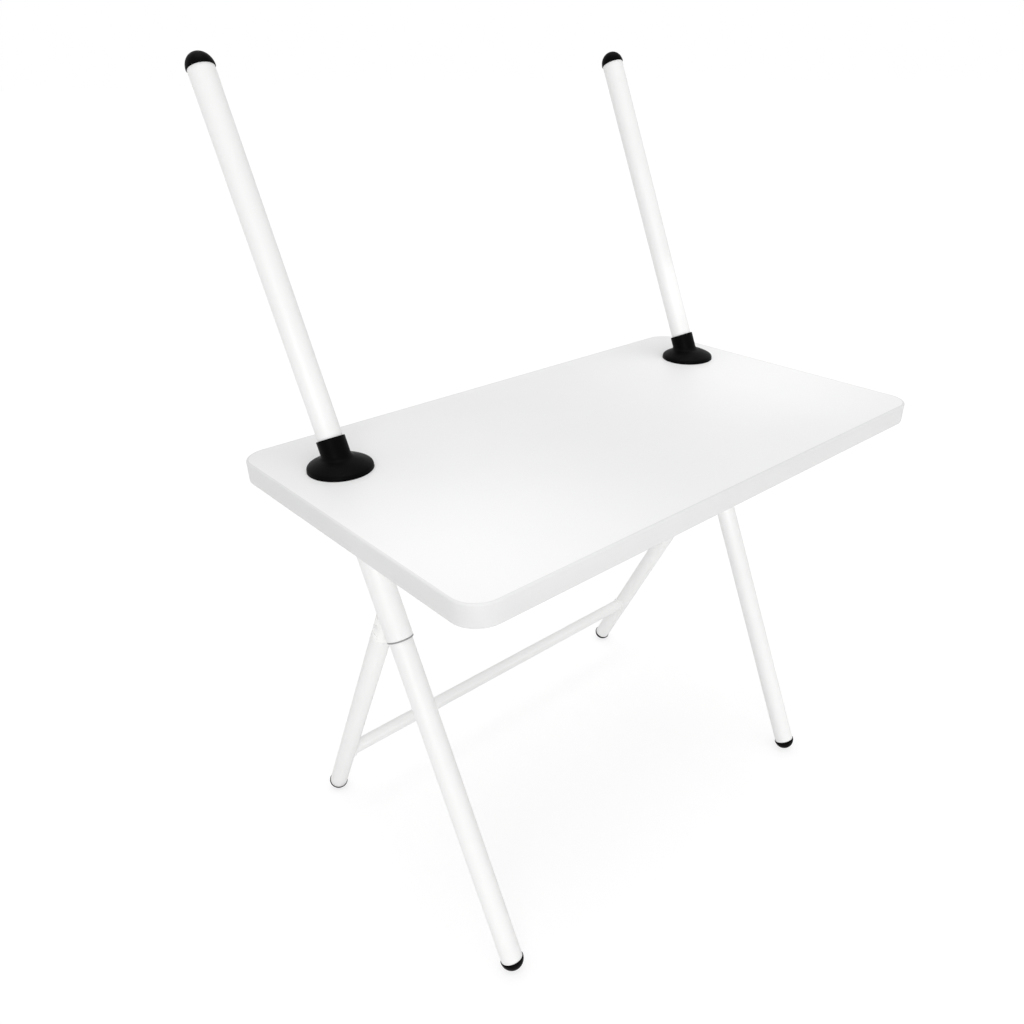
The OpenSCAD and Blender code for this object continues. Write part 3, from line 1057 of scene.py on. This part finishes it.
class STAND_OT_board(Operator):
    """Build the edge band and finish the core and the facings"""

    bl_idname = "stand.board"
    bl_label = "Board"

    def execute(self, context):
        # The edge band's finish carries painted shade of the board's sides in its grey.
        make_piece("board_edge_band", band_mesh(), edge_strip_painted_shade, "board", ["edge_band"])
        dress_node("board_core", chip_core)
        dress_node("top_facing", facing_sheet)
        dress_node("bottom_facing", facing_sheet)
        return {"FINISHED"}


class STAND_OT_sockets(Operator):
    """Build the two flanged sockets on the board"""

    bl_idname = "stand.sockets"
    bl_label = "Sockets"

    def execute(self, context):
        for side in SIDES:
            make_piece(f"flanged_socket_{side}", socket_mesh(side), black_moulding, "board",
                       [f"socket_{side}"])
        return {"FINISHED"}


class STAND_OT_plates(Operator):
    """Build the plates under the board and their screws"""

    bl_idname = "stand.plates"
    bl_label = "Plates and screws"

    def execute(self, context):
        for side in SIDES:
            make_piece(f"sleeve_plate_{side}", plate_mesh(side), powder_coat, "board", [f"leg_plate_{side}"])
        make_piece("pan_head_screws", screws_mesh(), zinc_plate, "board", ["plate_screws"])
        return {"FINISHED"}


class STAND_OT_sleeves(Operator):
    """Build the sleeves that hold the front legs, and their welds"""

    bl_idname = "stand.sleeves"
    bl_label = "Sleeves"

    def execute(self, context):
        for side in SIDES:
            make_piece(f"sleeve_{side}", sleeve_mesh(side), powder_coat, "board", [f"leg_sleeve_{side}"])
            make_piece(f"sleeve_welds_{side}", sleeve_welds_mesh(side), powder_coat, "board")
        return {"FINISHED"}


class STAND_OT_hinges(Operator):
    """Build the tongues, forks, rivets and washers of the hinges"""

    bl_idname = "stand.hinges"
    bl_label = "Hinges"

    def execute(self, context):
        for side in SIDES:
            make_piece(f"tongue_{side}", tongue_mesh(side), powder_coat, "board", [f"hinge_tongue_{side}"])
            make_piece(f"fork_{side}", fork_mesh(side), white_nylon, "rear_frame", [f"hinge_fork_{side}"])
        washers = joined([washer_mesh(side, offset) for side in SIDES for offset in washer_offsets()])
        rivets = joined([rivet_mesh(side) for side in SIDES])
        make_piece("thrust_washers", washers, white_nylon, "board", ["hinge_washers"])
        make_piece("domed_rivets", rivets, powder_coat, "rear_frame", ["hinge_rivets"])
        return {"FINISHED"}


class STAND_OT_uprights(Operator):
    """Build the uprights and their caps"""

    bl_idname = "stand.uprights"
    bl_label = "Uprights"

    def execute(self, context):
        for side in SIDES:
            node = f"upright_{side}"
            foot, height, radius = tube_of(node, LEAN)
            cap = cap_mesh(radius, sizes().cap_dome, leaning(foot + UP * height, LEAN))
            make_piece(f"upright_tube_{side}", tube_mesh(node, LEAN), powder_coat, node, [node])
            make_piece(f"domed_cap_{side}", cap, black_moulding, node, [f"top_cap_{side}"])
        return {"FINISHED"}


class STAND_OT_front_legs(Operator):
    """Build the front legs, their feet and the grey rings of painted shade under their sleeves"""

    bl_idname = "stand.front_legs"
    bl_label = "Front legs"

    def execute(self, context):
        for side in SIDES:
            node = f"front_leg_{side}"
            foot = foot_mesh(node, LEAN, sizes().cap_dome)
            make_piece(f"front_tube_{side}", tube_mesh(node, LEAN), powder_coat, node, [node])
            make_piece(f"domed_foot_{side}", foot, black_moulding, node, [f"front_foot_{side}"])
            # Grey ring of painted shade, for the shadow line at the sleeve's end.
            make_piece(f"shadow_line_ring_{side}", ring_mesh(side), grey_rubber, node, [f"leg_ring_{side}"])
        return {"FINISHED"}


class STAND_OT_rear_frame(Operator):
    """Build the rear legs, their feet, the cross bar and its welds"""

    bl_idname = "stand.rear_frame"
    bl_label = "Rear frame"

    def execute(self, context):
        for side in SIDES:
            node = f"rear_leg_{side}"
            foot = foot_mesh(node, REAR_LEAN, sizes().rear_dome)
            make_piece(f"rear_tube_{side}", tube_mesh(node, REAR_LEAN), powder_coat, "rear_frame", [node])
            make_piece(f"end_plug_{side}", foot, black_moulding, "rear_frame", [f"rear_foot_{side}"])
        make_piece("saddle_cut_bar", bar_mesh(), powder_coat, "rear_frame", ["cross_bar"])
        make_piece("bar_welds", bar_welds_mesh(), powder_coat, "rear_frame")
        return {"FINISHED"}


# Stage

CAMERA_PLACE = Vector((-0.4970, -0.5161, 0.7028))
CAMERA_HEADING = radians(47.517)
CAMERA_DIP = radians(30.894)
CAMERA_ROLL = radians(-0.270)
CAMERA_LENS = 29.778
CAMERA_SHIFT = (-0.0449, 0.0529)
WHITE = (1, 1, 1, 1)
STUDIO_LEVEL = 0.62
FLOOR_SIZE = 60.0
FLOOR_BOUNCE = (0.85, 0.85, 0.85, 1)
FLOOR_GLOW = 0.7
FLOOR_LIGHT = 1.07
SUNS = (
    {"name": "front_key", "direction": (0.6, 0.66, -0.25), "spread": 30, "power": 0.72},
    {"name": "overhead", "direction": (0, 0, -1), "spread": 40, "power": 0.8},
)
SOFT_BOXES = (
    {"name": "corner_box", "place": (-0.22, -0.13, 0.54), "aim": (-0.22, -0.135, 0.43),
     "size": 0.2, "power": 0.045},
    {"name": "end_box", "place": (0.24, -0.04, 0.54), "aim": (0.24, -0.045, 0.43),
     "size": 0.2, "power": 0.04},
    {"name": "left_leg_box", "place": (-0.75, -0.95, 0.25), "aim": (0, 0, 0.18),
     "size": 0.6, "power": 1.5},
    {"name": "right_leg_box", "place": (0.3, -1.1, 0.12), "aim": (0.15, 0.1, 0.12),
     "size": 0.5, "power": 1.3},
)


def seen_background(tree):
    """One where the camera, a reflection or clear glass looks straight at a surface."""
    path = tree.nodes.new("ShaderNodeLightPath")
    seen = path.outputs["Is Camera Ray"]
    for ray in ("Is Glossy Ray", "Is Transmission Ray"):
        seen = calculated(tree, "MAXIMUM", seen, path.outputs[ray])
    return seen


def seen_or_not(tree, hidden, seen):
    """Shader that the light meets, with another in its place where it is looked at."""
    return add_node(tree, "MixShader", seen_background(tree), hidden, seen).outputs["Shader"]


def light_world():
    """Even studio light, with a white background where it is looked at."""
    world = bpy.data.worlds.new("studio")
    bpy.context.scene.world = world
    world.use_nodes = True
    tree = world.node_tree
    soft = fill(tree, tree.nodes["Background"], Color=WHITE, Strength=STUDIO_LEVEL)
    white = add_node(tree, "Background", Color=WHITE, Strength=1)
    both = seen_or_not(tree, soft.outputs["Background"], white.outputs["Background"])
    fill(tree, tree.nodes["World Output"], Surface=both)


def add_lamp(light, place, direction):
    """Lamp at a place that shines in a direction and stays out of the camera's sight."""
    lamp = in_scene(light.name, light)
    lamp.location = place
    lamp.rotation_euler = direction.to_track_quat("-Z", "Y").to_euler()
    lamp.visible_camera = False


def add_sun(name, direction, spread, power):
    """Broad even light along a direction, with its spread in degrees."""
    light = bpy.data.lights.new(name, "SUN")
    light.energy = power
    light.angle = radians(spread)
    add_lamp(light, -Vector(direction), Vector(direction))


def add_soft_box(name, place, aim, size, power):
    """Small square soft box that faces a point."""
    light = bpy.data.lights.new(name, "AREA")
    light.size = size
    light.energy = power
    add_lamp(light, Vector(place), Vector(aim) - Vector(place))


def floor_finish():
    """Pale floor that fades into the white background but keeps the stand's shadow."""
    material = bpy.data.materials.new("pale_floor")
    material.use_nodes = True
    tree = material.node_tree
    bounce = fill(tree, tree.nodes["Principled BSDF"],
                  Base_Color=FLOOR_BOUNCE, Roughness=1, Specular_IOR_Level=0)
    white = add_node(tree, "BsdfDiffuse", Color=WHITE)
    glow = add_node(tree, "Emission", Strength=FLOOR_LIGHT)
    looks = add_node(tree, "MixShader", FLOOR_GLOW, white.outputs["BSDF"], glow.outputs["Emission"])
    both = seen_or_not(tree, bounce.outputs["BSDF"], looks.outputs["Shader"])
    fill(tree, tree.nodes["Material Output"], Surface=both)
    return material


def lay_floor():
    """Level floor under the feet."""
    mesh = bmesh.new()
    bmesh.ops.create_grid(mesh, x_segments=1, y_segments=1, size=FLOOR_SIZE / 2)
    data = mesh_data("floor", mesh)
    data.materials.append(floor_finish())
    floor = in_scene("floor", data)


def set_camera():
    """Camera at the photograph's viewing angle."""
    lens = bpy.data.cameras.new("camera")
    lens.lens = CAMERA_LENS
    lens.shift_x, lens.shift_y = CAMERA_SHIFT
    camera = in_scene("camera", lens)
    turn = Matrix.Rotation(CAMERA_HEADING - pi / 2, 4, "Z") @ Matrix.Rotation(pi / 2 - CAMERA_DIP, 4, "X")
    camera.matrix_world = Matrix.Translation(CAMERA_PLACE) @ turn @ Matrix.Rotation(CAMERA_ROLL, 4, "Z")
    bpy.context.scene.camera = camera


class STAND_OT_stage(Operator):
    """Lay the floor and set the light and the camera"""

    bl_idname = "stand.stage"
    bl_label = "Stage"

    def execute(self, context):
        context.scene.view_settings.view_transform = "Standard"
        light_world()
        for sun in SUNS:
            add_sun(**sun)
        for box in SOFT_BOXES:
            add_soft_box(**box)
        lay_floor()
        set_camera()
        return {"FINISHED"}


STEPS = (
    STAND_OT_board, STAND_OT_sockets, STAND_OT_plates, STAND_OT_sleeves, STAND_OT_hinges,
    STAND_OT_uprights, STAND_OT_front_legs, STAND_OT_rear_frame, STAND_OT_stage,
)


class STAND_PT_pieces(Panel):
    """Panel with the stand's building steps, sizes and colours"""

    bl_idname = "STAND_PT_pieces"
    bl_label = "Stand"
    bl_space_type = "VIEW_3D"
    bl_region_type = "UI"
    bl_category = "Stand"

    def draw(self, context):
        for step in STEPS:
            self.layout.operator(step.bl_idname)
        for group in (sizes(), hinge_sizes(), colours()):
            column = self.layout.column()
            for label in group.__annotations__:
                column.prop(group, label)


SETTINGS = {"stand_sizes": StandSizes, "stand_hinges": HingeSizes, "stand_colours": StandColours}
CLASSES = (*SETTINGS.values(), *STEPS, STAND_PT_pieces)


def register():
    """Add the classes and hang the settings on the scene."""
    for kind in CLASSES:
        bpy.utils.register_class(kind)
    for label, kind in SETTINGS.items():
        setattr(bpy.types.Scene, label, PointerProperty(type=kind))


def unregister():
    """Take the settings and the classes away again."""
    for label in SETTINGS:
        delattr(bpy.types.Scene, label)
    for kind in reversed(CLASSES):
        bpy.utils.unregister_class(kind)


def main():
    """Build every piece in order."""
    register()
    for step in STEPS:
        getattr(bpy.ops.stand, step.bl_idname.split(".")[1])()


if __name__ == "__main__":
    main()
